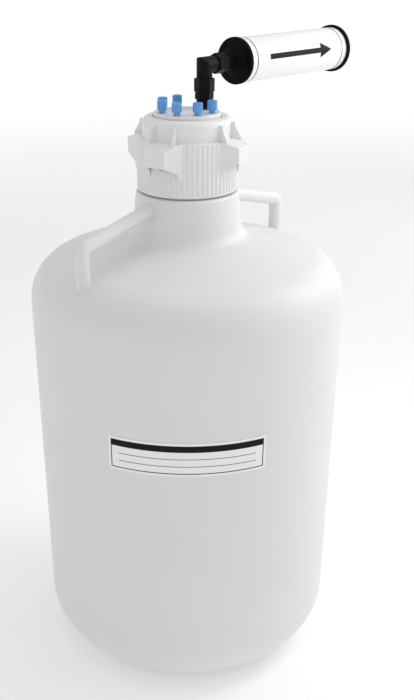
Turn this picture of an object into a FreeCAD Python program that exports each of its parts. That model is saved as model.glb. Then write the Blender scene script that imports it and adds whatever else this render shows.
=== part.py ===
import FreeCAD, Part
import math
import os

# Twenty litre round carboy with a ported closure and a vent filter, in millimetres.
# The origin is the centre of the base on the floor, +Z is up and the label faces -Y.
# A bearing is measured round the neck from -Y, and it grows towards +X.

# How far a cut, or one shape fused to another, runs past the face that it meets
overrun = 1.0
# Two points nearer than this are one point
same_point = 1e-6

# Body shell, blow moulded in one piece with its neck and both handles
base_radius = 137.6
top_radius = 142.8
wall_top = 351.5
base_round = 48.5
shoulder_round = 40.0
shoulder_slope = 15.5
wall = 3.2
foot_width = 24.0
push_up = 5.0
push_up_slope = 9.0

# Neck: a slightly flared tube, with the closure's finish standing on its ledge
neck_foot_radius = 49.4
neck_top_radius = 45.6
neck_length = 39.65
neck_fillet = 14.0
neck_edge_round = 2.4
finish_radius = 39.9
finish_wall = 3.6
finish_height = 37.9

# Handles: two round bars on one diagonal, each bent down into the shoulder
handle_bearings = (-45.0, 135.0)
bar_radius = 6.2
bar_drop = 10.6
bar_slope = 14.0
leg_reach = 122.5
bend_radius = 7.4
bar_sink = 12.0

# Label: a thin printed sheet round the front of the wall
label_bottom = 236.0
label_height = 31.6
label_half_angle = 28.1
label_thickness = 0.3

# Closure ring: ribbed skirt, smooth drum above it, four lobes with two gussets each
ring_clear = 1.7
skirt_radius = 43.5
skirt_wall = 1.7
rib_count = 64
rib_height = 0.9
rib_share = 0.72
valley_depth = 0.15
rib_margin = 2.0
ledge_thickness = 2.4
drum_radius = 39.3
drum_wall = 2.5
drum_round = 6.0
drum_height = 17.5
ring_top_thickness = 3.3
ring_opening = 30.3
ring_edge_round = 0.6
ledge_round = 1.2
lobe_bearings = (-30.0, 60.0, 150.0, 240.0)
lobe_reach = 55.8
lobe_half_width = 9.6
lobe_steep_angle = 20.0
lobe_shallow_angle = 28.0
lobe_height = 18.0
lobe_undercut = 6.3
lobe_sink = 0.6
lobe_fall = 4.4
lobe_top_round = 2.2
lobe_corner_round = 1.2
lobe_flare = 5.0
lobe_wall = 2.0
web_thickness = 1.8
gusset_angle = 14.8
gusset_thickness = 2.4
gusset_foot = 8.7
gusset_foot_rise = 1.2
gusset_waist = 4.0
gusset_waist_rise = 9.4
gusset_crown = 3.2
gusset_height = 13.4

# Port plate: a top hat that the ring clamps on the gasket
gasket_thickness = 3.0
flange_thickness = 3.8
groove_width = 1.0
plate_rise = 3.0
plate_edge_round = 1.0
deck_thickness = 15.0
hat_wall = 3.4
running_gap = 0.3
turning_gap = 0.4

# Tube ports: six small threaded ports for 3.2 mm tube, each with a nut and a ferrule
port_circle = 23.2
port_bearings = (-67.5, -22.5, 22.5, 67.5, -112.5, -157.5)
port_depth = 12.5
tube_hole = 1.7
stem_radius = 2.9
stem_length = 8.0
stem_gap = 0.1
head_clear = 2.8
head_radius = 4.3
head_height = 8.0
head_flutes = 12
flute_radius = 0.75
head_chamfer = 0.5
ferrule_length = 4.3
ferrule_cone = 1.5
ferrule_tip_radius = 2.1

# Filter port: one larger port, with an adapter that the elbow's nut screws on
filter_port_bearing = 135.0
filter_port_circle = 21.0
adapter_stem_radius = 6.2
adapter_stem_gap = 0.1
adapter_stem_length = 14.0
gas_bore = 3.6
seal_section = 0.95
seal_groove_radius = 5.55
adapter_neck_radius = 6.9
adapter_neck_length = 8.2
adapter_hex_height = 6.0
adapter_hex_flats = 14.2
union_thread_radius = 6.6
union_thread_length = 5.6

# Unions: a hexagon nut holds the beaded tail of the elbow against the next piece
union_nut_flats = 15.6
union_nut_gap = 0.4
union_nut_length = 11.5
union_lip = 3.7
union_play = 0.1
tail_radius = 5.4
bead_radius = 6.5
bead_length = 2.0
nut_chamfer = 0.8

# Elbow: a sharp right angle from the port up and out to the filter
elbow_radius = 6.9
elbow_rise = 10.5
elbow_reach = 12.0
filter_heading = 46.6

# Vent filter: a white tube of carbon between two black caps
inlet_hub_radius = 6.9
inlet_hub_length = 10.5
inlet_cone_length = 4.0
inlet_cone_radius = 14.5
inlet_flange_radius = 20.5
inlet_flange_thickness = 3.0
cap_edge_round = 0.8
cap_spigot_length = 8.0
cap_spigot_wall = 2.2
tube_radius = 19.8
tube_wall = 1.7
tube_length = 140.6
tube_fit = 0.2
pad_thickness = 3.0
pad_gap = 0.2
end_cap_radius = 22.1
end_cap_thickness = 3.8
vent_hole_radius = 1.6
vent_pitch = 5.6
vent_circle_count = 2
vent_count = 6
inlet_funnel_radius = 12.0

# Values that follow from the ones above
UP = FreeCAD.Vector(0, 0, 1)
ORIGIN = FreeCAD.Vector(0, 0, 0)
taper = (top_radius - base_radius) / wall_top
shoulder_fall = math.tan(math.radians(shoulder_slope))
corner_height = wall_top + shoulder_round * math.tan(math.radians(45 - shoulder_slope / 2))
corner_radius = base_radius + taper * corner_height
neck_foot = corner_height + (corner_radius - neck_foot_radius) * shoulder_fall
neck_ledge = neck_foot + neck_length
neck_land = neck_ledge + finish_height
bar_root_height = neck_ledge - bar_drop
finish_bore = finish_radius - finish_wall
gasket_top = neck_land + gasket_thickness
flange_top = gasket_top + flange_thickness
inner_ledge = flange_top + running_gap
ring_bottom = neck_ledge + ring_clear
ledge_height = inner_ledge + ledge_thickness
ring_top = ledge_height + drum_height
lobe_face_bottom = ledge_height - lobe_height
lobe_root_bottom = lobe_face_bottom - lobe_undercut
ring_bore = skirt_radius - skirt_wall
drum_bore = drum_radius - drum_wall
ring_ceiling = ring_top - ring_top_thickness
hat_radius = drum_bore - turning_gap
flange_radius = ring_bore - turning_gap
hat_top = ring_ceiling - running_gap
boss_radius = ring_opening - groove_width
plate_top = ring_top + plate_rise
deck_bottom = plate_top - deck_thickness
hat_bore = hat_radius - hat_wall
port_radius = stem_radius + stem_gap
port_floor = plate_top - port_depth
head_bottom = plate_top + head_clear
adapter_hex_bottom = plate_top + adapter_neck_length
adapter_hex_top = adapter_hex_bottom + adapter_hex_height
union_bottom = adapter_hex_top + union_thread_length
filter_port_radius = adapter_stem_radius + adapter_stem_gap
nut_bore = union_thread_radius + union_play
nut_reach = union_thread_length - union_nut_gap
tail_length = union_nut_length - nut_reach - bead_length
bead_start = elbow_reach + union_nut_gap + tail_length
tail_bottom = union_bottom + bead_length + union_play
elbow_foot = tail_bottom + tail_length + union_nut_gap
elbow_axis_height = elbow_foot + elbow_rise


def bearing_point(bearing, radius, height=0.0):
    turn = math.radians(bearing)
    return FreeCAD.Vector(radius * math.sin(turn), -radius * math.cos(turn), height)


def face_bearing(shape, bearing):
    # Turn a shape made facing +X so that it faces the given bearing
    turned = shape.copy()
    turned.rotate(ORIGIN, UP, bearing - 90.0)
    return turned


def rounded_wire(corners):
    # Closed wire through (x, z, rounding) corners, with an arc at each rounded one
    points = [FreeCAD.Vector(x, 0, z) for x, z, _ in corners]
    count = len(points)
    stops = []
    for index, (_, _, rounding) in enumerate(corners):
        here = points[index]
        back = points[index - 1] - here
        ahead = points[(index + 1) % count] - here
        if rounding <= 0:
            stops.append((here, None, here))
            continue
        back.normalize()
        ahead.normalize()
        half = back.getAngle(ahead) / 2
        length = rounding / math.tan(half)
        inward = back + ahead
        inward.normalize()
        crown = here + inward * (rounding / math.sin(half) - rounding)
        stops.append((here + back * length, crown, here + ahead * length))
    edges = []
    for index, (start, crown, end) in enumerate(stops):
        if crown is not None:
            edges.append(Part.Arc(start, crown, end).toShape())
        following = stops[(index + 1) % count][0]
        if end.distanceToPoint(following) > same_point:
            edges.append(Part.LineSegment(end, following).toShape())
    return Part.Wire(edges)


def spun(corners, angle=360.0):
    return Part.Face(rounded_wire(corners)).revolve(ORIGIN, UP, angle)


def plate_of(corners, thickness):
    # A flat piece with an XZ outline, centred on the XZ plane
    face = Part.Face(rounded_wire(corners))
    face.translate(FreeCAD.Vector(0, -thickness / 2, 0))
    return face.extrude(FreeCAD.Vector(0, thickness, 0))


def prism_of(corners, bottom, top):
    # An upright prism over an XY outline, whose corners are (x, y, rounding)
    face = Part.Face(rounded_wire(corners))
    face.rotate(ORIGIN, FreeCAD.Vector(1, 0, 0), -90)
    lifted = face.extrude(FreeCAD.Vector(0, 0, top - bottom))
    lifted.translate(FreeCAD.Vector(0, 0, bottom))
    return lifted.mirror(ORIGIN, FreeCAD.Vector(0, 1, 0))


def cylinder(radius, bottom, top, centre=ORIGIN):
    base = FreeCAD.Vector(centre.x, centre.y, bottom)
    return Part.makeCylinder(radius, top - bottom, base, UP)


def inset(corners, depth):
    # The same open outline moved inwards by depth, with its roundings to match
    sides = []
    for (x1, z1, _), (x2, z2, _) in zip(corners, corners[1:]):
        along = FreeCAD.Vector(x2 - x1, 0, z2 - z1)
        along.normalize()
        across = FreeCAD.Vector(-along.z, 0, along.x) * depth
        sides.append((FreeCAD.Vector(x1, 0, z1) + across, FreeCAD.Vector(x2, 0, z2) + across, along))
    first, last = sides[0][0], sides[-1][1]
    moved = [(first.x, first.z, 0)]
    for (start, _, along), (other, _, ahead), corner in zip(sides, sides[1:], corners[1:]):
        cross = along.x * ahead.z - along.z * ahead.x
        gap = other - start
        point = start + along * ((gap.x * ahead.z - gap.z * ahead.x) / cross)
        rounding = corner[2]
        if rounding > 0:
            rounding += -depth if cross > 0 else depth
        moved.append((point.x, point.z, rounding))
    return moved + [(last.x, last.z, 0)]


def shell_corners():
    # The outside of the wall, from the foot up to the neck's ledge, as sharp corners to round
    return [
        (base_radius - base_round, 0, 0),
        (base_radius, 0, base_round),
        (corner_radius, corner_height, shoulder_round),
        (neck_foot_radius, neck_foot, neck_fillet),
        (neck_top_radius, neck_ledge, neck_edge_round),
        (finish_radius, neck_ledge, 0),
    ]


def outer_body():
    flat_radius = base_radius - base_round
    hollow_radius = flat_radius - foot_width
    base = [(0, push_up, 0), (hollow_radius - push_up_slope, push_up, 0), (hollow_radius, 0, 0)]
    finish = [(finish_radius, neck_land, 0), (0, neck_land, 0)]
    return spun(base + shell_corners() + finish)


def cavity():
    # The inside: the wall's outline moved in by the wall, under the finish's bore
    hollow_radius = base_radius - base_round - foot_width
    walls = inset(shell_corners(), wall)[1:-1]
    walls[-1] = (walls[-1][0], neck_ledge - wall, walls[-1][2])
    floor = [(0, push_up + wall, 0), (hollow_radius - push_up_slope, push_up + wall, 0),
             (hollow_radius, wall, 0)]
    mouth = [(finish_bore, neck_ledge - wall, 0), (finish_bore, neck_land + wall, 0),
             (0, neck_land + wall, 0)]
    return spun(floor + walls + mouth)


def handle(bearing):
    # One bar from inside the neck out and down, round the bend and into the shoulder
    slope = math.radians(bar_slope)
    bend_height = bar_root_height - (leg_reach - neck_top_radius) * math.tan(slope)
    turn = math.pi / 2 - slope
    length = bend_radius * math.tan(turn / 2)
    away = FreeCAD.Vector(math.cos(slope), 0, -math.sin(slope))
    corner = FreeCAD.Vector(leg_reach, 0, bend_height)
    start = FreeCAD.Vector(neck_top_radius, 0, bar_root_height) - away * bar_sink
    into_bend = corner - away * length
    out_of_bend = corner - UP * length
    centre = out_of_bend - FreeCAD.Vector(bend_radius, 0, 0)
    middle = corner - centre
    middle.normalize()
    crown = centre + middle * bend_radius
    foot = FreeCAD.Vector(leg_reach, 0, wall_top)
    path = Part.Wire([
        Part.LineSegment(start, into_bend).toShape(),
        Part.Arc(into_bend, crown, out_of_bend).toShape(),
        Part.LineSegment(out_of_bend, foot).toShape(),
    ])
    ring = Part.Wire(Part.makeCircle(bar_radius, start, away))
    # The pipe's seam goes to its side, off the plane where it meets the shoulder
    ring.rotate(start, away, 90)
    return face_bearing(path.makePipeShell([ring], True, False), bearing)


def carboy_body():
    bars = [handle(bearing) for bearing in handle_bearings]
    return outer_body().fuse(bars).removeSplitter().cut(cavity())


def body_label():
    low = base_radius + taper * label_bottom
    high = base_radius + taper * (label_bottom + label_height)
    top = label_bottom + label_height
    sheet = spun([(low, label_bottom, 0), (low + label_thickness, label_bottom, 0),
                  (high + label_thickness, top, 0), (high, top, 0)], 2 * label_half_angle)
    return face_bearing(sheet, -label_half_angle)


def ribbed_band():
    # The ribs as one prism: each rib is an arc that stands out of the skirt
    step = 360.0 / rib_count
    edges = []
    for rib in range(rib_count):
        start = bearing_point(rib * step, skirt_radius)
        crown = bearing_point((rib + rib_share / 2) * step, skirt_radius + rib_height)
        end = bearing_point((rib + rib_share) * step, skirt_radius)
        valley = bearing_point((rib + (1 + rib_share) / 2) * step, skirt_radius - valley_depth)
        after = bearing_point((rib + 1) * step, skirt_radius)
        edges.append(Part.Arc(start, crown, end).toShape())
        edges.append(Part.Arc(end, valley, after).toShape())
    face = Part.Face(Part.Wire(edges))
    face.translate(UP * (ring_bottom + rib_margin))
    return face.extrude(UP * (ledge_height - ledge_round - rib_margin - ring_bottom))


def lobe_plan():
    # A lobe is steep on the side that is pushed to tighten, and shallow on the other
    root = skirt_radius - lobe_sink
    steep = math.radians(lobe_steep_angle)
    shallow = math.radians(lobe_shallow_angle)
    return [
        (root * math.cos(shallow), -root * math.sin(shallow), 0),
        (lobe_reach, -lobe_half_width, lobe_corner_round),
        (lobe_reach, lobe_half_width, lobe_corner_round),
        (root * math.cos(steep), root * math.sin(steep), 0),
    ]


def lobe_side():
    # Side view of a lobe: its top falls outwards, and its foot flares into the skirt
    root = skirt_radius - lobe_sink
    return [
        (drum_bore - overrun, lobe_root_bottom - lobe_flare, 0),
        (root, lobe_root_bottom - lobe_flare, 0),
        (root, lobe_root_bottom, lobe_flare),
        (lobe_reach, lobe_face_bottom, 0),
        (lobe_reach, ledge_height - lobe_fall, lobe_top_round),
        (skirt_radius - ledge_round, ledge_height, 0),
        (drum_bore - overrun, ledge_height, 0),
    ]


def lobe(bearing):
    # A shell that is open below, with one web across its hollow
    plan = lobe_plan()
    hub = [(drum_bore, plan[-1][1], 0), (drum_bore, plan[0][1], 0)]
    bottom = lobe_root_bottom - lobe_flare - overrun
    block = prism_of(plan + hub, bottom, ledge_height)
    hollow = prism_of(inset(plan, lobe_wall), bottom, ledge_height)
    roof = plate_of([
        (drum_bore - overrun, bottom, 0),
        (lobe_reach, bottom, 0),
        (lobe_reach, ledge_height - lobe_fall - lobe_wall, 0),
        (skirt_radius - ledge_round, ledge_height - lobe_wall, 0),
        (drum_bore - overrun, ledge_height - lobe_wall, 0),
    ], 2 * lobe_reach)
    side = plate_of(lobe_side(), 2 * lobe_reach)
    shell = block.common(side).cut(hollow.common(roof))
    web = plate_of(lobe_side(), web_thickness)
    return face_bearing(shell.fuse(web), bearing)


def gusset(bearing):
    # It stands on the ledge and the lobe, stepped in at its waist
    foot = ledge_height - lobe_wall
    return face_bearing(plate_of([
        (drum_bore + overrun, foot, 0),
        (drum_radius + gusset_foot, foot, 0),
        (drum_radius + gusset_foot, ledge_height + gusset_foot_rise, 0),
        (drum_radius + gusset_waist, ledge_height + gusset_waist_rise, 0),
        (drum_radius + gusset_crown, ledge_height + gusset_height, 0),
        (drum_bore + overrun, ledge_height + gusset_height, 0),
    ], gusset_thickness), bearing)


def closure_ring():
    drum = spun([
        (drum_bore, ring_bottom, 0),
        (skirt_radius, ring_bottom, 0),
        (skirt_radius, ledge_height, ledge_round),
        (drum_radius, ledge_height, ledge_round),
        (drum_radius, ring_top, drum_round),
        (ring_opening, ring_top, ring_edge_round),
        (ring_opening, ring_ceiling, 0),
        (drum_bore, ring_ceiling, 0),
    ])
    lobes = [lobe(bearing) for bearing in lobe_bearings]
    gussets = [gusset(bearing + side * gusset_angle) for bearing in lobe_bearings for side in (-1, 1)]
    solid = drum.fuse([ribbed_band()] + lobes + gussets)
    solid = solid.cut(cylinder(ring_bore, ring_bottom - overrun, inner_ledge))
    return solid.cut(cylinder(drum_bore, inner_ledge - overrun, ring_ceiling))


def filter_port_centre():
    return bearing_point(filter_port_bearing, filter_port_circle)


def port_plate():
    hat = spun([
        (hat_bore, gasket_top, 0),
        (flange_radius, gasket_top, 0),
        (flange_radius, flange_top, 0),
        (hat_radius, flange_top, 0),
        (hat_radius, hat_top, plate_edge_round),
        (boss_radius, hat_top, 0),
        (boss_radius, plate_top, plate_edge_round),
        (0, plate_top, 0),
        (0, deck_bottom, 0),
        (hat_bore, deck_bottom, plate_edge_round),
    ])
    above = plate_top + overrun
    below = deck_bottom - overrun
    holes = [cylinder(filter_port_radius, below, above, filter_port_centre())]
    for bearing in port_bearings:
        centre = bearing_point(bearing, port_circle)
        holes.append(cylinder(port_radius, port_floor, above, centre))
        holes.append(cylinder(tube_hole, below, port_floor + overrun, centre))
    return hat.cut(holes)


def neck_gasket():
    washer = cylinder(flange_radius, neck_land, gasket_top)
    return washer.cut(cylinder(finish_bore, neck_land - overrun, gasket_top + overrun))


def fluted_head():
    # Head of a finger nut, scalloped round its edge, made on the axis from height 0
    body = cylinder(head_radius, 0, head_height)
    edges = [edge for edge in body.Edges if edge.BoundBox.ZLength < same_point]
    body = body.makeChamfer(head_chamfer, edges)
    scallops = []
    for flute in range(head_flutes):
        centre = bearing_point(flute * 360.0 / head_flutes, head_radius + flute_radius / 2)
        scallops.append(cylinder(flute_radius, -overrun, head_height + overrun, centre))
    return body.cut(scallops)


def tube_nut(centre):
    head = fluted_head()
    head.translate(UP * head_bottom)
    stem = cylinder(stem_radius, plate_top - stem_length, head_bottom + overrun)
    bore = cylinder(tube_hole, plate_top - stem_length - overrun, head_bottom + head_height + overrun)
    mouth = Part.makeCone(tube_hole, stem_radius - head_chamfer, 2 * head_chamfer,
                          UP * (head_bottom + head_height - 2 * head_chamfer), UP)
    nut = head.fuse(stem).cut([bore, mouth])
    nut.translate(centre)
    return nut


def tube_ferrule(centre):
    # A ferrule fills the floor of its port under the nut, cone down
    outer = stem_radius - stem_gap
    ring = spun([
        (tube_hole, port_floor, 0),
        (ferrule_tip_radius, port_floor, 0),
        (outer, port_floor + ferrule_cone, 0),
        (outer, port_floor + ferrule_length, 0),
        (tube_hole, port_floor + ferrule_length, 0),
    ])
    ring.translate(centre)
    return ring


def hexagon(flats, bottom, top, chamfer):
    # A hexagon bar with a flat to the front, whose corners are turned off at both ends
    half_side = math.pi / 6
    corner = flats / 2 / math.cos(half_side)
    points = [bearing_point(math.degrees(half_side) * (2 * side + 1), corner, bottom) for side in range(7)]
    bar = Part.Face(Part.makePolygon(points)).extrude(UP * (top - bottom))
    turned = spun([
        (0, bottom, 0),
        (corner - chamfer, bottom, 0),
        (corner, bottom + chamfer / 2, 0),
        (corner, top - chamfer / 2, 0),
        (corner - chamfer, top, 0),
        (0, top, 0),
    ])
    return bar.common(turned)


def filter_adapter():
    seal_top = plate_top + 2 * seal_section
    stem = spun([
        (0, plate_top - adapter_stem_length, 0),
        (adapter_stem_radius, plate_top - adapter_stem_length, 0),
        (adapter_stem_radius, plate_top, 0),
        (seal_groove_radius, plate_top, 0),
        (seal_groove_radius, seal_top, 0),
        (adapter_neck_radius, seal_top, 0),
        (adapter_neck_radius, adapter_hex_bottom, 0),
        (0, adapter_hex_bottom, 0),
    ])
    grip = hexagon(adapter_hex_flats, adapter_hex_bottom, adapter_hex_top, nut_chamfer)
    thread = cylinder(union_thread_radius, adapter_hex_top, union_bottom)
    bore = cylinder(gas_bore, plate_top - adapter_stem_length - overrun, union_bottom + overrun)
    adapter = stem.fuse([grip, thread]).cut(bore)
    adapter.translate(filter_port_centre())
    return adapter


def adapter_seal():
    centre = filter_port_centre() + UP * (plate_top + seal_section)
    return Part.makeTorus(seal_groove_radius + seal_section + union_play, seal_section, centre, UP)


def union_nut():
    # Made on the axis, mouth down at height 0, with its lip at the top
    nut = hexagon(union_nut_flats, 0, union_nut_length, nut_chamfer)
    mouth = cylinder(nut_bore, -overrun, union_nut_length - union_lip)
    lip = cylinder(tail_radius + union_play, 0, union_nut_length + overrun)
    return nut.cut([mouth, lip])


def elbow_nut():
    nut = union_nut()
    nut.translate(filter_port_centre() + UP * (adapter_hex_top + union_nut_gap))
    return nut


def filter_line(shape):
    # Lay a shape made along +Z on the filter's level axis, with height 0 at the elbow's corner
    laid = shape.copy()
    laid.rotate(ORIGIN, FreeCAD.Vector(0, 1, 0), 90)
    laid.rotate(ORIGIN, UP, filter_heading)
    laid.translate(filter_port_centre() + UP * elbow_axis_height)
    return laid


def beaded_tail(start):
    # The elbow's end: a thinner tail from start, with a bead that the nut pulls on
    bead_from = start + union_nut_gap + tail_length
    tail = cylinder(tail_radius, start - overrun, bead_from + bead_length)
    return tail.fuse(cylinder(bead_radius, bead_from, bead_from + bead_length))


def elbow():
    corner = filter_port_centre() + UP * elbow_axis_height
    heading = math.radians(filter_heading)
    level = FreeCAD.Vector(math.cos(heading), math.sin(heading), 0)
    foot = filter_port_centre() + UP * elbow_foot
    mouth = corner + level * elbow_reach
    path = Part.makePolygon([foot, corner, mouth])
    skin = path.makePipeShell([Part.Wire(Part.makeCircle(elbow_radius, foot, UP))], True, False, 1)
    down_tail = cylinder(tail_radius, tail_bottom, elbow_foot + overrun, foot)
    down_bead = cylinder(bead_radius, tail_bottom - bead_length, tail_bottom, foot)
    body = skin.fuse([down_tail, down_bead, filter_line(beaded_tail(elbow_reach))])
    end = bead_start + bead_length
    drill_foot = FreeCAD.Vector(foot.x, foot.y, tail_bottom - bead_length - overrun)
    drill_path = Part.makePolygon([drill_foot, corner, corner + level * (end + overrun)])
    drill = drill_path.makePipeShell([Part.Wire(Part.makeCircle(gas_bore, drill_foot, UP))], True, False, 1)
    return body.cut(drill)


def filter_start():
    # Where the filter's inlet meets the elbow's bead, measured along the filter's axis
    return bead_start + bead_length + union_play


def filter_nut():
    nut = union_nut()
    nut.rotate(ORIGIN, FreeCAD.Vector(1, 0, 0), 180)
    nut.translate(UP * (elbow_reach + union_nut_gap + union_nut_length))
    return filter_line(nut)


def flange_start():
    return filter_start() + union_thread_length + inlet_hub_length + inlet_cone_length


def tube_start():
    return flange_start() + inlet_flange_thickness


def filter_inlet_cap():
    start = filter_start()
    hub_end = start + union_thread_length + inlet_hub_length
    flange = flange_start()
    shoulder = tube_start()
    spigot_radius = tube_radius - tube_wall - tube_fit
    end = shoulder + cap_spigot_length
    return filter_line(spun([
        (gas_bore, start, 0),
        (union_thread_radius, start, 0),
        (union_thread_radius, start + union_thread_length, 0),
        (inlet_hub_radius, start + union_thread_length, 0),
        (inlet_hub_radius, hub_end, 0),
        (inlet_cone_radius, flange, 0),
        (inlet_flange_radius, flange, cap_edge_round),
        (inlet_flange_radius, shoulder, 0),
        (spigot_radius, shoulder, 0),
        (spigot_radius, end, 0),
        (spigot_radius - cap_spigot_wall, end, 0),
        (inlet_funnel_radius, shoulder, 0),
        (gas_bore, hub_end, 0),
    ]))


def filter_tube():
    start = tube_start()
    end = start + tube_length
    bore = cylinder(tube_radius - tube_wall, start - overrun, end + overrun)
    return filter_line(cylinder(tube_radius, start, end).cut(bore))


def filter_end_cap():
    # The open end: a rimmed disc with rings of vent holes, plugged into the tube
    end = tube_start() + tube_length
    spigot_radius = tube_radius - tube_wall - tube_fit
    inner = spigot_radius - cap_spigot_wall
    cap = spun([
        (0, end, 0),
        (inner, end, 0),
        (inner, end - cap_spigot_length, 0),
        (spigot_radius, end - cap_spigot_length, 0),
        (spigot_radius, end, 0),
        (end_cap_radius, end, cap_edge_round),
        (end_cap_radius, end + end_cap_thickness, cap_edge_round),
        (inner, end + end_cap_thickness, 0),
        (inner, end + end_cap_thickness / 2, 0),
        (0, end + end_cap_thickness / 2, 0),
    ])
    centres = [ORIGIN]
    for circle in range(1, vent_circle_count + 1):
        count = circle * vent_count
        centres += [bearing_point(hole * 360.0 / count, circle * vent_pitch) for hole in range(count)]
    vents = [cylinder(vent_hole_radius, end - overrun, end + end_cap_thickness, centre)
             for centre in centres]
    return filter_line(cap.cut(vents))


def bed_start():
    return tube_start() + cap_spigot_length + pad_gap + pad_thickness


def bed_end():
    return tube_start() + tube_length - cap_spigot_length - pad_gap - pad_thickness


def filling(start, end):
    return filter_line(cylinder(tube_radius - tube_wall - tube_fit, start, end))


def build():
    pieces = {
        "carboy_body": carboy_body(),
        "body_label": body_label(),
        "closure_ring": closure_ring(),
        "port_plate": port_plate(),
        "neck_gasket": neck_gasket(),
        "filter_adapter": filter_adapter(),
        "adapter_seal": adapter_seal(),
        "elbow_nut": elbow_nut(),
        "elbow": elbow(),
        "filter_nut": filter_nut(),
        "filter_inlet_cap": filter_inlet_cap(),
        "filter_tube": filter_tube(),
        "filter_end_cap": filter_end_cap(),
        "carbon_bed": filling(bed_start(), bed_end()),
        "inlet_pad": filling(bed_start() - pad_thickness, bed_start()),
        "outlet_pad": filling(bed_end(), bed_end() + pad_thickness),
    }
    for number, bearing in enumerate(port_bearings, 1):
        centre = bearing_point(bearing, port_circle)
        pieces["tube_nut_%d" % number] = tube_nut(centre)
        pieces["tube_ferrule_%d" % number] = tube_ferrule(centre)
    return pieces


def main():
    os.makedirs("parts", exist_ok=True)
    for name, shape in build().items():
        print(name, "solids", len(shape.Solids), "valid", shape.isValid(), "volume %.0f" % shape.Volume)
        shape.exportStep("parts/" + name + ".step")


main()
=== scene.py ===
# %% [markdown]
# # Dressing a ported carboy
#
# A carboy is a big blow-moulded bottle for liquids. This one has two moulded bar handles, a
# lobed closure that clamps a plate with six small tube ports, and an elbow that carries a
# vent filter. The CAD model already holds every solid at its real size, so this lesson adds
# what CAD leaves out: threads, print, mould marks, and above all the finish of each plastic.
#
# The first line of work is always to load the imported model. Its nodes come in as fixed
# objects that may get a material, but are never moved.

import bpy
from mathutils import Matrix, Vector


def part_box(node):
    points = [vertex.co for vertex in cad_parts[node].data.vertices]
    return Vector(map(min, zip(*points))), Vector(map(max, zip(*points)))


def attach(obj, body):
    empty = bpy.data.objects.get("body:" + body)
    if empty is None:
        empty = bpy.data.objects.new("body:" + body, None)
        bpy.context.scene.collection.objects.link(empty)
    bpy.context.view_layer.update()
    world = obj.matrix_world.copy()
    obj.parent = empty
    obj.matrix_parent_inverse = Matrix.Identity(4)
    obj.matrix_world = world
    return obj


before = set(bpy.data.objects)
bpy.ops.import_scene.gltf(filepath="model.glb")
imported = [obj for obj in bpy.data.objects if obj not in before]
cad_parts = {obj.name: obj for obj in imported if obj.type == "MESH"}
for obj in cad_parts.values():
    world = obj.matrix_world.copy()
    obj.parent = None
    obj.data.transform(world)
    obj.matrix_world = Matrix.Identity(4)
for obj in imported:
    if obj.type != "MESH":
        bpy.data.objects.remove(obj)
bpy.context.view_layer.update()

# %% [markdown]
# ## Units and the sizes that the new pieces follow
#
# Blender works in metres and the drawing of the carboy is in millimetres, so a small helper
# turns one into the other. The values below are the ones that the new pieces sit on. A
# bearing is measured round the neck from the front, -Y, and it grows towards +X.

# %% Units and shared sizes
import math

import bmesh
import bpy
from mathutils import Matrix, Vector

UP = Vector((0, 0, 1))
MM_PER_METRE = 1000


def mm(*values):
    scaled = [value / MM_PER_METRE for value in values]
    return scaled[0] if len(scaled) == 1 else Vector(scaled)


def facing(bearing, radius, height=0.0):
    turn = math.radians(bearing)
    return mm(radius * math.sin(turn), -radius * math.cos(turn), height)


base_radius, base_round = 137.6, 48.5
taper = 0.0147937
corner_height, corner_radius, shoulder_round = 381.92, 143.25, 40.0
neck_foot_radius, neck_foot, neck_fillet = 49.4, 407.95, 14.0
neck_top_radius, neck_ledge, finish_radius, ring_bore = 45.6, 447.6, 39.9, 41.8
label_bottom, label_height, label_half_angle, label_thickness = 236.0, 31.6, 28.1, 0.3
filter_heading = math.radians(46.6)
filter_port = mm(14.849, 14.849, 552.6)
tube_radius, tube_start, tube_end = 19.8, 41.9, 182.5
body_low, body_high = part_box("carboy_body")
print("body height %.1f mm" % ((body_high.z - body_low.z) * MM_PER_METRE))

# %% [markdown]
# ## The camera
#
# The photograph was taken from in front and a little above. Its lens was worked out from the
# ellipses of the neck, the label and the base: each is a level circle whose flatness tells
# how far the camera looks down. The frame is 414 x 700, so the lens is given over 700.

# %% The camera
photo_width, photo_height = 414, 700
lens_in_pixels, axis_column = 990.07, 187.24
camera_place, degrees_down = mm(0, -866.32, 657.20), 22.8361

camera_data = bpy.data.cameras.new("photo_camera")
camera_data.sensor_width = 36.0
camera_data.lens = lens_in_pixels / photo_height * camera_data.sensor_width
camera_data.shift_x = (photo_width / 2 - axis_column) / photo_height
camera = bpy.data.objects.new("photo_camera", camera_data)
camera.location = camera_place
camera.rotation_euler = (math.radians(90 - degrees_down), 0, 0)
bpy.context.scene.collection.objects.link(camera)
bpy.context.scene.camera = camera
print("lens %.1f mm" % camera_data.lens)

# %% [markdown]
# ## Floor and light
#
# The photograph is a product picture on pure white. A large pale floor fills the whole view,
# because the camera looks down. A real studio lights the paper behind the object a second
# time, so this floor glows a little, and more so far away than under the base.
#
# A finish starts from a colour and a roughness on Blender's standard shader. The floor needs
# one as much as the plastics do, so the helpers for it come first.

# %% Helpers for a material and for the stage
def new_finish(name, colour, roughness):
    finish = bpy.data.materials.new(name)
    finish.use_nodes = True
    shader = shader_of(finish)
    shader.inputs["Base Color"].default_value = (*colour, 1)
    shader.inputs["Roughness"].default_value = roughness
    return finish


def shader_of(finish):
    return finish.node_tree.nodes["Principled BSDF"]


def only_verts(parts):
    return [part for part in parts if isinstance(part, bmesh.types.BMVert)]


def set_on_stage(name, bm, paint):
    mesh = bpy.data.meshes.new(name)
    bm.to_mesh(mesh)
    bm.free()
    mesh.materials.append(paint)
    piece = bpy.data.objects.new(name, mesh)
    bpy.context.scene.collection.objects.link(piece)
    print(name, piece.dimensions[:])
    return piece


# %% The floor
floor_reach = 40.0

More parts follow.
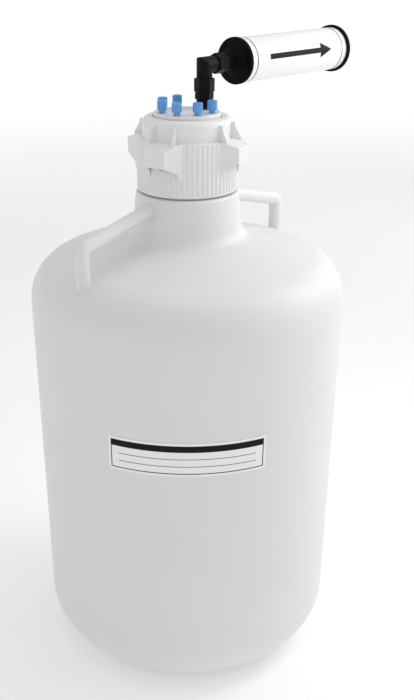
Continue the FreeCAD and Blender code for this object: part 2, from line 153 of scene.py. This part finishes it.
floor_paint = new_finish("floor_paint", (0.9, 0.9, 0.9), 0.9)
floor_shader = shader_of(floor_paint)
floor_shader.inputs["Specular IOR Level"].default_value = 0.1
floor_shader.inputs["Emission Color"].default_value = (1, 1, 1, 1)

floor_nodes, floor_links = floor_paint.node_tree.nodes, floor_paint.node_tree.links
# Painted light: the floor glows by itself, 0.2 within 0.8 m of its middle, rising to 0.51 at 4
# m, so the far floor reads white while little glow falls back on the base.
floor_place = floor_nodes.new("ShaderNodeTexCoord")
distance = floor_nodes.new("ShaderNodeVectorMath")
distance.operation = "LENGTH"
glow = floor_nodes.new("ShaderNodeMapRange")
glow.interpolation_type = "SMOOTHSTEP"
glow.inputs["From Min"].default_value = 0.8
glow.inputs["From Max"].default_value = 4.0
glow.inputs["To Min"].default_value = 0.2
glow.inputs["To Max"].default_value = 0.51
floor_links.new(floor_place.outputs["Object"], distance.inputs[0])
floor_links.new(distance.outputs["Value"], glow.inputs["Value"])
floor_links.new(glow.outputs["Result"], floor_shader.inputs["Emission Strength"])

floor_bm = bmesh.new()
bmesh.ops.create_grid(floor_bm, x_segments=1, y_segments=1, size=floor_reach)
set_on_stage("floor", floor_bm, floor_paint)

# %% [markdown]
# From the side a camera would see where the floor ends. A ring of white paper stands far out
# on the floor to hide that. It is there for the eye only: no light comes from it, because
# the rays that carry light pass through it.

# %% The paper behind
paper_radius, paper_height = 30.0, 30.0

paper_white = new_finish("paper_white", (0, 0, 0), 0.5)
paper_shader = shader_of(paper_white)
paper_shader.inputs["Specular IOR Level"].default_value = 0
paper_shader.inputs["Emission Color"].default_value = (1, 1, 1, 1)
paper_shader.inputs["Emission Strength"].default_value = 1.0

paper_bm = bmesh.new()
bmesh.ops.create_circle(paper_bm, segments=96, radius=paper_radius)
raised = bmesh.ops.extrude_edge_only(paper_bm, edges=paper_bm.edges[:])["geom"]
bmesh.ops.translate(paper_bm, vec=(0, 0, paper_height), verts=only_verts(raised))
paper = set_on_stage("paper", paper_bm, paper_white)
paper.visible_diffuse = paper.visible_glossy = False
paper.visible_transmission = paper.visible_shadow = False

# %% [markdown]
# The room is bright on all sides, which is why the body has hardly any shadow. Four soft
# boxes add to it. The key is close to the right of the neck and whitens that side of the
# closure, the neck and the shoulder, and the weaker side box carries its light round to the
# front. The rear box stands low behind the right, because a satin surface mirrors light best
# at a flat angle, and the top box brightens what faces up. The boxes light the object but
# aren't seen themselves.

# %% The lights
bpy.context.scene.view_settings.view_transform = "Standard"
world = bpy.data.worlds.new("studio")
world.use_nodes = True
world.node_tree.nodes["Background"].inputs["Color"].default_value = (1, 1, 1, 1)
world.node_tree.nodes["Background"].inputs["Strength"].default_value = 0.6
bpy.context.scene.world = world


def soft_box(name, place, target, size, power):
    lamp_data = bpy.data.lights.new(name, "AREA")
    lamp_data.shape = "RECTANGLE"
    lamp_data.size, lamp_data.size_y = size
    lamp_data.energy = power
    lamp = bpy.data.objects.new(name, lamp_data)
    lamp.location = place
    lamp.rotation_euler = (Vector(target) - Vector(place)).to_track_quat("-Z", "Y").to_euler()
    lamp.visible_camera = False
    bpy.context.scene.collection.objects.link(lamp)


neck_middle, body_middle = (0, 0, 0.42), (0, 0, 0.28)
soft_box("key", (0.62, 0.15, 0.78), neck_middle, (0.3, 0.5), 1.95)
soft_box("side", (0.7, -0.15, 0.62), neck_middle, (0.3, 0.5), 0.45)
soft_box("rear", (1.1, 1.3, 0.75), body_middle, (0.6, 1.0), 2.2)
soft_box("top", (0.1, 0.1, 2.2), body_middle, (1.6, 1.6), 5.3)

# %% [markdown]
# ## How a plastic gets its finish
#
# Moulded plastic is never one flat value. Its gloss drifts where the mould cooled slowly, its
# skin has a fine grain from the steel, and a large blown wall is a little wavy. All of that
# can be made from noise that reads the object's own coordinates, so it needs no picture and
# stays on the piece when the piece moves. The helpers below each add one such layer.

# %% Helpers for finishes
def own_coordinates(finish, stretch=(1, 1, 1), turn=(0, 0, 0), centre=(0, 0, 0)):
    nodes, links = finish.node_tree.nodes, finish.node_tree.links
    coordinates = nodes.new("ShaderNodeTexCoord")
    mapping = nodes.new("ShaderNodeMapping")
    mapping.vector_type = "TEXTURE"
    mapping.inputs["Location"].default_value = centre
    mapping.inputs["Rotation"].default_value = turn
    mapping.inputs["Scale"].default_value = [1 / part for part in stretch]
    links.new(coordinates.outputs["Object"], mapping.inputs["Vector"])
    return mapping.outputs["Vector"]


def noise(finish, scale, detail=2.0, **placing):
    texture = finish.node_tree.nodes.new("ShaderNodeTexNoise")
    texture.inputs["Scale"].default_value = scale
    texture.inputs["Detail"].default_value = detail
    finish.node_tree.links.new(own_coordinates(finish, **placing), texture.inputs["Vector"])
    return texture.outputs["Fac"]


def vary_roughness(finish, low, high, scale, **placing):
    nodes, links = finish.node_tree.nodes, finish.node_tree.links
    spread = nodes.new("ShaderNodeMapRange")
    # Noise seldom leaves these two values
    spread.inputs["From Min"].default_value = 0.3
    spread.inputs["From Max"].default_value = 0.7
    spread.inputs["To Min"].default_value = low
    spread.inputs["To Max"].default_value = high
    links.new(noise(finish, scale, **placing), spread.inputs["Value"])
    links.new(spread.outputs["Result"], shader_of(finish).inputs["Roughness"])


def vary_colour(finish, dark, light, scale, **placing):
    nodes, links = finish.node_tree.nodes, finish.node_tree.links
    blend = nodes.new("ShaderNodeMix")
    blend.data_type = "RGBA"
    blend.inputs["A"].default_value = (*dark, 1)
    blend.inputs["B"].default_value = (*light, 1)
    links.new(noise(finish, scale, **placing), blend.inputs["Factor"])
    links.new(blend.outputs["Result"], shader_of(finish).inputs["Base Color"])


def raise_surface(finish, height, depth):
    nodes, links = finish.node_tree.nodes, finish.node_tree.links
    bump = nodes.new("ShaderNodeBump")
    bump.inputs["Distance"].default_value = depth
    normal = shader_of(finish).inputs["Normal"]
    if normal.is_linked:
        links.new(normal.links[0].from_socket, bump.inputs["Normal"])
    links.new(height, bump.inputs["Height"])
    links.new(bump.outputs["Normal"], normal)


def dress(finish, *names):
    for name in names:
        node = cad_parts[name]
        node.data.materials.clear()
        node.data.materials.append(finish)
    print(finish.name, "on", ", ".join(names))


# %% [markdown]
# ## The blown wall
#
# The body is natural white polyethylene, blown into a mould. Its skin is satin, a little
# milky because light enters it, and slightly uneven over a few centimetres. Two layers of
# bump do this: a broad one for the waves of the wall and a fine one for the grain.

# %% Body finish
blown_wall = new_finish("blown_wall", (0.80, 0.80, 0.795), 0.38)
wall_shader = shader_of(blown_wall)
wall_shader.inputs["Subsurface Weight"].default_value = 0.12
wall_shader.inputs["Subsurface Radius"].default_value = (1.0, 0.95, 0.9)
wall_shader.inputs["Subsurface Scale"].default_value = 0.006
wall_shader.inputs["Specular IOR Level"].default_value = 0.45
vary_colour(blown_wall, (0.785, 0.785, 0.775), (0.815, 0.815, 0.812), 14)
vary_roughness(blown_wall, 0.34, 0.46, 22, detail=4)
raise_surface(blown_wall, noise(blown_wall, 13, detail=1), mm(0.5))
raise_surface(blown_wall, noise(blown_wall, 900, detail=2), mm(0.012))
dress(blown_wall, "carboy_body")

# %% [markdown]
# ## Closure and plate
#
# The ring is injection moulded, so its grain is finer and its faces are flat. The plate is
# turned from a block, which leaves fine rings round its middle: a wave texture in ring mode
# draws those, and its depth is only a few microns.

# %% Closure and plate finishes
moulded_white = new_finish("moulded_white", (0.84, 0.84, 0.835), 0.42)
shader_of(moulded_white).inputs["Subsurface Weight"].default_value = 0.08
shader_of(moulded_white).inputs["Subsurface Scale"].default_value = 0.003
vary_colour(moulded_white, (0.825, 0.825, 0.82), (0.85, 0.85, 0.847), 60)
vary_roughness(moulded_white, 0.36, 0.5, 90)
raise_surface(moulded_white, noise(moulded_white, 1800), mm(0.01))
dress(moulded_white, "closure_ring")

turned_white = new_finish("turned_white", (0.82, 0.825, 0.825), 0.4)
vary_colour(turned_white, (0.80, 0.805, 0.805), (0.83, 0.835, 0.835), 80)
vary_roughness(turned_white, 0.32, 0.45, 120)
turning = turned_white.node_tree.nodes.new("ShaderNodeTexWave")
turning.wave_type, turning.rings_direction = "RINGS", "Z"
turning.inputs["Scale"].default_value = 450
turning.inputs["Distortion"].default_value = 0.4
turned_white.node_tree.links.new(own_coordinates(turned_white), turning.inputs["Vector"])
raise_surface(turned_white, turning.outputs["Fac"], mm(0.006))
dress(turned_white, "port_plate")

# %% [markdown]
# ## Small plastics, seals and the filter's filling
#
# The tube nuts are blue polypropylene, slightly glossy. The fittings and the filter's caps
# are black, with enough grain that a soft light still shows their form. The tube is
# extruded, so its faint lines run along it: the noise is turned to the filter's heading and
# stretched. Felt and carbon show through the vent holes and get fibres and grains.

# %% Nut, fitting and cap finishes
tube_ports = range(1, 7)

nut_blue = new_finish("nut_blue", (0.13, 0.36, 0.74), 0.34)
shader_of(nut_blue).inputs["Subsurface Weight"].default_value = 0.1
shader_of(nut_blue).inputs["Subsurface Scale"].default_value = 0.001
vary_colour(nut_blue, (0.115, 0.34, 0.71), (0.145, 0.385, 0.77), 300)
vary_roughness(nut_blue, 0.27, 0.42, 400)
raise_surface(nut_blue, noise(nut_blue, 2500), mm(0.006))
dress(nut_blue, *["tube_nut_%d" % port for port in tube_ports])

fitting_black = new_finish("fitting_black", (0.0035, 0.0035, 0.004), 0.5)
shader_of(fitting_black).inputs["Specular IOR Level"].default_value = 0.12
vary_colour(fitting_black, (0.0025, 0.0025, 0.0028), (0.0045, 0.0045, 0.005), 150)
vary_roughness(fitting_black, 0.42, 0.6, 220)
raise_surface(fitting_black, noise(fitting_black, 2000), mm(0.012))
dress(fitting_black, "filter_adapter", "elbow_nut", "elbow", "filter_nut")

cap_black = new_finish("cap_black", (0.0025, 0.0025, 0.0028), 0.55)
shader_of(cap_black).inputs["Specular IOR Level"].default_value = 0.08
vary_colour(cap_black, (0.002, 0.002, 0.0023), (0.0036, 0.0036, 0.004), 110)
vary_roughness(cap_black, 0.48, 0.64, 160)
raise_surface(cap_black, noise(cap_black, 1500), mm(0.02))
dress(cap_black, "filter_inlet_cap", "filter_end_cap")

# %% Tube, ferrule, seal, felt and carbon finishes
drawn_out = dict(stretch=(0.03, 1, 1), turn=(0, 0, filter_heading), centre=filter_port)
tube_white = new_finish("tube_white", (0.89, 0.89, 0.89), 0.22)
vary_roughness(tube_white, 0.19, 0.26, 500, **drawn_out)
raise_surface(tube_white, noise(tube_white, 500, **drawn_out), mm(0.002))
dress(tube_white, "filter_tube")

ferrule_tan = new_finish("ferrule_tan", (0.75, 0.66, 0.36), 0.4)
vary_roughness(ferrule_tan, 0.34, 0.48, 700)
dress(ferrule_tan, *["tube_ferrule_%d" % port for port in tube_ports])

gasket_grey = new_finish("gasket_grey", (0.52, 0.52, 0.50), 0.7)
vary_colour(gasket_grey, (0.49, 0.49, 0.47), (0.55, 0.55, 0.53), 200)
raise_surface(gasket_grey, noise(gasket_grey, 1500), mm(0.03))
dress(gasket_grey, "neck_gasket")

seal_black = new_finish("seal_black", (0.012, 0.012, 0.012), 0.6)
vary_roughness(seal_black, 0.5, 0.7, 900)
dress(seal_black, "adapter_seal")

felt_white = new_finish("felt_white", (0.72, 0.72, 0.69), 0.95)
shader_of(felt_white).inputs["Sheen Weight"].default_value = 0.4
vary_colour(felt_white, (0.60, 0.60, 0.57), (0.80, 0.80, 0.77), 900, detail=6)
raise_surface(felt_white, noise(felt_white, 1400, detail=6), mm(0.25))
dress(felt_white, "inlet_pad", "outlet_pad")

carbon_black = new_finish("carbon_black", (0.01, 0.01, 0.01), 0.6)
grains = carbon_black.node_tree.nodes.new("ShaderNodeTexVoronoi")
grains.inputs["Scale"].default_value = 600
carbon_black.node_tree.links.new(own_coordinates(carbon_black), grains.inputs["Vector"])
raise_surface(carbon_black, grains.outputs["Distance"], mm(-0.6))
dress(carbon_black, "carbon_bed")

# %% [markdown]
# ## Film and ink
#
# The label on the body is a thin white film with a smooth face. The ink on it and on the
# filter is matt black and soaks in a little unevenly.

# %% Film and ink finishes
label_film = new_finish("label_film", (0.93, 0.93, 0.93), 0.22)
vary_roughness(label_film, 0.18, 0.3, 60)
raise_surface(label_film, noise(label_film, 260, detail=1), mm(0.008))
dress(label_film, "body_label")

ink_black = new_finish("ink_black", (0.006, 0.006, 0.0065), 0.55)
shader_of(ink_black).inputs["Specular IOR Level"].default_value = 0.15
vary_roughness(ink_black, 0.45, 0.65, 500)
vary_colour(ink_black, (0.004, 0.004, 0.0045), (0.009, 0.009, 0.0095), 700)
print("film on the label, ink kept for the lines on it")

# %% [markdown]
# ## Turning a bmesh into a piece
#
# Every new piece ends the same way: its doubles are merged, its normals are made to point
# outwards, its faces are shaded smooth with crisp edges kept, and it is told which body of
# the CAD model it rides on. One helper keeps that order the same for all of them.

# %% Finish a piece
same_point, crisp_angle = mm(0.0005), math.radians(32)


def make_piece(name, bm, finish, body):
    bmesh.ops.remove_doubles(bm, verts=bm.verts, dist=same_point)
    bmesh.ops.recalc_face_normals(bm, faces=bm.faces)
    mesh = bpy.data.meshes.new(name)
    bm.to_mesh(mesh)
    bm.free()
    mesh.shade_smooth()
    mesh.set_sharp_from_angle(angle=crisp_angle)
    mesh.materials.append(finish)
    piece = bpy.data.objects.new(name, mesh)
    bpy.context.scene.collection.objects.link(piece)
    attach(piece, body)
    print(name, "faces", len(mesh.polygons))


def open_edges(bm):
    return sum(1 for edge in bm.edges if not edge.is_manifold)


# %% [markdown]
# ## Threads
#
# A closure of this kind screws on with a coarse thread. CAD keeps the neck plain, because a
# thread is a long twisted surface that slows every check. In a mesh it is easy: a small
# closed face is spun about the axis while each step also lifts it, which is what the dvec
# of bmesh's spin does. Both ends are then faded into the wall, as a mould does it. The crests
# of the two threads stay clear of each other, so that the ring can turn at any height.

# %% A thread
def cut_thread(name, wall_radius, crest, foot, turns, finish, body):
    steps_per_turn, pitch, half_root, half_crest = 72, 6.0, 1.7, 0.7
    sunk_depth, fade_rate, least_crest = 0.3, 9, 0.02
    sunk = wall_radius - sunk_depth * (1 if crest > wall_radius else -1)
    bm = bmesh.new()
    corners = [(sunk, -half_root), (crest, -half_crest), (crest, half_crest), (sunk, half_root)]
    start = bm.faces.new([bm.verts.new(mm(0, -radius, foot + rise)) for radius, rise in corners])
    bmesh.ops.spin(bm, geom=[start, *start.edges, *start.verts], cent=(0, 0, 0), axis=UP,
                   dvec=mm(0, 0, pitch / steps_per_turn), angle=math.tau * turns,
                   steps=int(steps_per_turn * turns))
    for vert in bm.verts:
        bearing = math.atan2(vert.co.x, -vert.co.y) / math.tau
        lap = round((vert.co.z * MM_PER_METRE - foot) / pitch - bearing)
        done = (lap + bearing) / turns
        fade = max(least_crest, min(1.0, fade_rate * min(done, 1 - done) + least_crest))
        radius = math.hypot(vert.co.x, vert.co.y)
        wanted = mm(sunk) + (radius - mm(sunk)) * fade
        vert.co.x *= wanted / radius
        vert.co.y *= wanted / radius
    print(name, "open edges", open_edges(bm))
    make_piece(name, bm, finish, body)


cut_thread("neck_thread", finish_radius, 40.85, 456.0, 3.0, blown_wall, "carboy")
cut_thread("ring_thread", ring_bore, 41.1, 453.5, 3.6, moulded_white, "ring")

# %% [markdown]
# ## The label's print
#
# The label is a place to write on, so it gets a plain frame, a solid bar at its head and two
# ruled lines, which is what a blank contents label has. Each of them is a strip of ink, a few
# hundredths of a millimetre thick, that follows the wall. An upright profile spun through an
# angle makes a level strip, and spun through a very small angle it makes an upright one.

# %% Strips that follow the wall
ink_proud, steps_per_degree = 0.04, 1.5


def wall_radius_at(height):
    return base_radius + taper * height + label_thickness


def ink_strip(bm, low, high, first, last):
    reach = wall_radius_at(low), wall_radius_at(high)
    corners = [(reach[0] - ink_proud, low), (reach[0] + ink_proud, low),
               (reach[1] + ink_proud, high), (reach[1] - ink_proud, high)]
    face = bm.faces.new([bm.verts.new(facing(first, radius, z)) for radius, z in corners])
    steps = max(1, round((last - first) * steps_per_degree))
    bmesh.ops.spin(bm, geom=[face, *face.edges, *face.verts], cent=(0, 0, 0), axis=UP,
                   angle=math.radians(last - first), steps=steps)


label_top = label_bottom + label_height
frame_inset, frame_line, head_bar, rule_line = 2.4, 0.8, 6.0, 0.5
rule_count, rule_inset_angle = 2, 3
edge_angle = label_half_angle - math.degrees(frame_inset / wall_radius_at(label_bottom))
line_angle = math.degrees(frame_line / wall_radius_at(label_bottom))
frame_low, frame_high = label_bottom + frame_inset, label_top - frame_inset
print_bm = bmesh.new()
ink_strip(print_bm, frame_low, frame_low + frame_line, -edge_angle, edge_angle)
ink_strip(print_bm, frame_high - head_bar, frame_high, -edge_angle, edge_angle)
for side in (-edge_angle, edge_angle - line_angle):
    ink_strip(print_bm, frame_low + frame_line, frame_high - head_bar, side, side + line_angle)
rule_gap = (frame_high - head_bar - frame_low) / (rule_count + 1)
rule_angle = edge_angle - rule_inset_angle
for rule in range(1, rule_count + 1):
    height = frame_low + rule * rule_gap
    ink_strip(print_bm, height, height + rule_line, -rule_angle, rule_angle)
make_piece("label_print", print_bm, ink_black, "carboy")

# %% [markdown]
# ## Marks on the filter
#
# A vent filter has to be fitted the right way round, so its tube carries a flow arrow and a
# thin band near each cap. A band is a small closed loop of edges, spun once round the filter's
# own axis. The arrow starts as a flat outline. It is cut across into narrow slices, given its
# thickness, and then wrapped: a face can only bend where it has edges, so the cuts come first.

# %% Bands and an arrow round the tube
along = Vector((math.cos(filter_heading), math.sin(filter_heading), 0))
outward = Vector((math.sin(filter_heading), -math.cos(filter_heading), 0))
band_inset, band_width = 6.5, 1.1
arrow_start, arrow_tip, arrow_head, arrow_rise = 66.0, 158.0, 17.0, 3.0
half_shaft, half_head = 2.4, 7.0


def on_tube(distance, round_tube, radius):
    turn = round_tube / tube_radius
    away = outward * math.cos(turn) + UP * math.sin(turn)
    return filter_port + mm(distance) * along + mm(radius) * away


mark_bm = bmesh.new()
for start in (tube_start + band_inset, tube_end - band_inset - band_width):
    corners = [(start, -ink_proud), (start + band_width, -ink_proud),
               (start + band_width, ink_proud), (start, ink_proud)]
    loop = [mark_bm.verts.new(on_tube(s, 0, tube_radius + rise)) for s, rise in corners]
    edges = [mark_bm.edges.new((loop[i - 1], loop[i])) for i in range(len(loop))]
    bmesh.ops.spin(mark_bm, geom=[*loop, *edges], cent=filter_port, axis=along,
                   angle=math.tau, steps=96, use_merge=True)

head_start = arrow_tip - arrow_head
outline = [(arrow_start, -half_shaft), (head_start, -half_shaft), (head_start, -half_head),
           (arrow_tip, 0), (head_start, half_head), (head_start, half_shaft),
           (arrow_start, half_shaft)]
arrow_bm = bmesh.new()
arrow_bm.faces.new([arrow_bm.verts.new((x, y, -ink_proud)) for x, y in outline])
# The cuts are a millimetre apart, and none of them goes through a corner
for cut in range(1 - int(half_head), int(half_head)):
    bmesh.ops.bisect_plane(arrow_bm, geom=[*arrow_bm.verts, *arrow_bm.edges, *arrow_bm.faces],
                           plane_co=(0, cut + 0.5, 0), plane_no=(0, 1, 0))
grown = bmesh.ops.extrude_face_region(arrow_bm, geom=arrow_bm.faces[:])["geom"]
bmesh.ops.translate(arrow_bm, vec=(0, 0, 2 * ink_proud), verts=only_verts(grown))
for vert in arrow_bm.verts:
    vert.co = on_tube(vert.co.x, vert.co.y + arrow_rise, tube_radius + vert.co.z)
arrow_mesh = bpy.data.meshes.new("arrow")
arrow_bm.to_mesh(arrow_mesh)
arrow_bm.free()
mark_bm.from_mesh(arrow_mesh)
bpy.data.meshes.remove(arrow_mesh)
print("filter_marks", "open edges", open_edges(mark_bm))
make_piece("filter_marks", mark_bm, ink_black, "filter")

# %% [markdown]
# ## Where the mould closed
#
# A blown bottle carries a fine raised line where the two halves of its mould met, here in the
# plane of the handles, and a thicker scar across the base where the hot tube was pinched off.
# The line follows the wall's own outline: straight flanks joined by arcs. Two chains of edges,
# one just inside the wall and one just outside, are bridged into a strip, and the strip is
# extruded sideways.

# %% The wall's outline as points
wall_corners = [(base_radius - base_round, 0, 0), (base_radius, 0, base_round),
                (corner_radius, corner_height, shoulder_round),
                (neck_foot_radius, neck_foot, neck_fillet), (neck_top_radius, neck_ledge, 0)]


def rounded_path(corners):
    arc_steps = 14
    path = []
    for index, (radius, height, rounding) in enumerate(corners):
        here = Vector((radius, height))
        if rounding == 0:
            path.append(here)
            continue
        back = (Vector(corners[index - 1][:2]) - here).normalized()
        ahead = (Vector(corners[index + 1][:2]) - here).normalized()
        half = back.angle(ahead) / 2
        centre = here + (back + ahead).normalized() * rounding / math.sin(half)
        first = here + back * rounding / math.tan(half) - centre
        last = here + ahead * rounding / math.tan(half) - centre
        path += [centre + first.slerp(last, step / arc_steps) for step in range(arc_steps + 1)]
    return path


outline_points = rounded_path(wall_corners)
print("outline points", len(outline_points))

# %% The parting line
line_width, line_proud, line_sunk = 0.6, 0.12, 0.2
points_below_line = 2


def parting_line(name, bearing):
    bm = bmesh.new()
    across = facing(bearing + 90, MM_PER_METRE).normalized()
    # The line starts above the foot, so that it never touches the floor
    stations = outline_points[points_below_line:-1]
    chains = []
    for offset in (-line_sunk, line_proud):
        verts = []
        for before, here, after in zip(stations, stations[1:], stations[2:]):
            tangent = (after - before).normalized()
            place = here + Vector((tangent.y, -tangent.x)) * offset
            verts.append(bm.verts.new(facing(bearing, place.x, place.y)))
        chains += [bm.edges.new(pair) for pair in zip(verts, verts[1:])]
    strip = bmesh.ops.bridge_loops(bm, edges=chains)["faces"]
    grown = bmesh.ops.extrude_face_region(bm, geom=strip)["geom"]
    bmesh.ops.translate(bm, vec=across * mm(line_width), verts=only_verts(grown))
    bmesh.ops.translate(bm, vec=across * mm(-line_width / 2), verts=bm.verts)
    print(name, "open edges", open_edges(bm))
    make_piece(name, bm, blown_wall, "carboy")


parting_line("parting_line_left", -45)
parting_line("parting_line_right", 135)

# %% The pinch-off scar
scar_length, scar_width, scar_drop, scar_round = 84.0, 1.6, 1.0, 0.25
ridge_width_share, ridge_length_share = 0.45, 0.96
scar_bearing, hollow_height = 45, 5.0
scar_bm = bmesh.new()
bmesh.ops.create_cube(scar_bm, size=1.0)
bmesh.ops.scale(scar_bm, vec=mm(scar_width, scar_length, 2 * scar_drop), verts=scar_bm.verts)
ridge = [vert for vert in scar_bm.verts if vert.co.z < 0]
bmesh.ops.scale(scar_bm, vec=(ridge_width_share, ridge_length_share, 1), verts=ridge)
bmesh.ops.bevel(scar_bm, geom=scar_bm.edges[:], offset=mm(scar_round), offset_type="OFFSET",
                segments=2, profile=0.5, affect="EDGES", material=-1)
bmesh.ops.rotate(scar_bm, cent=(0, 0, 0), verts=scar_bm.verts,
                 matrix=Matrix.Rotation(math.radians(scar_bearing), 3, "Z"))
bmesh.ops.translate(scar_bm, vec=mm(0, 0, hollow_height), verts=scar_bm.verts)
make_piece("base_scar", scar_bm, blown_wall, "carboy")
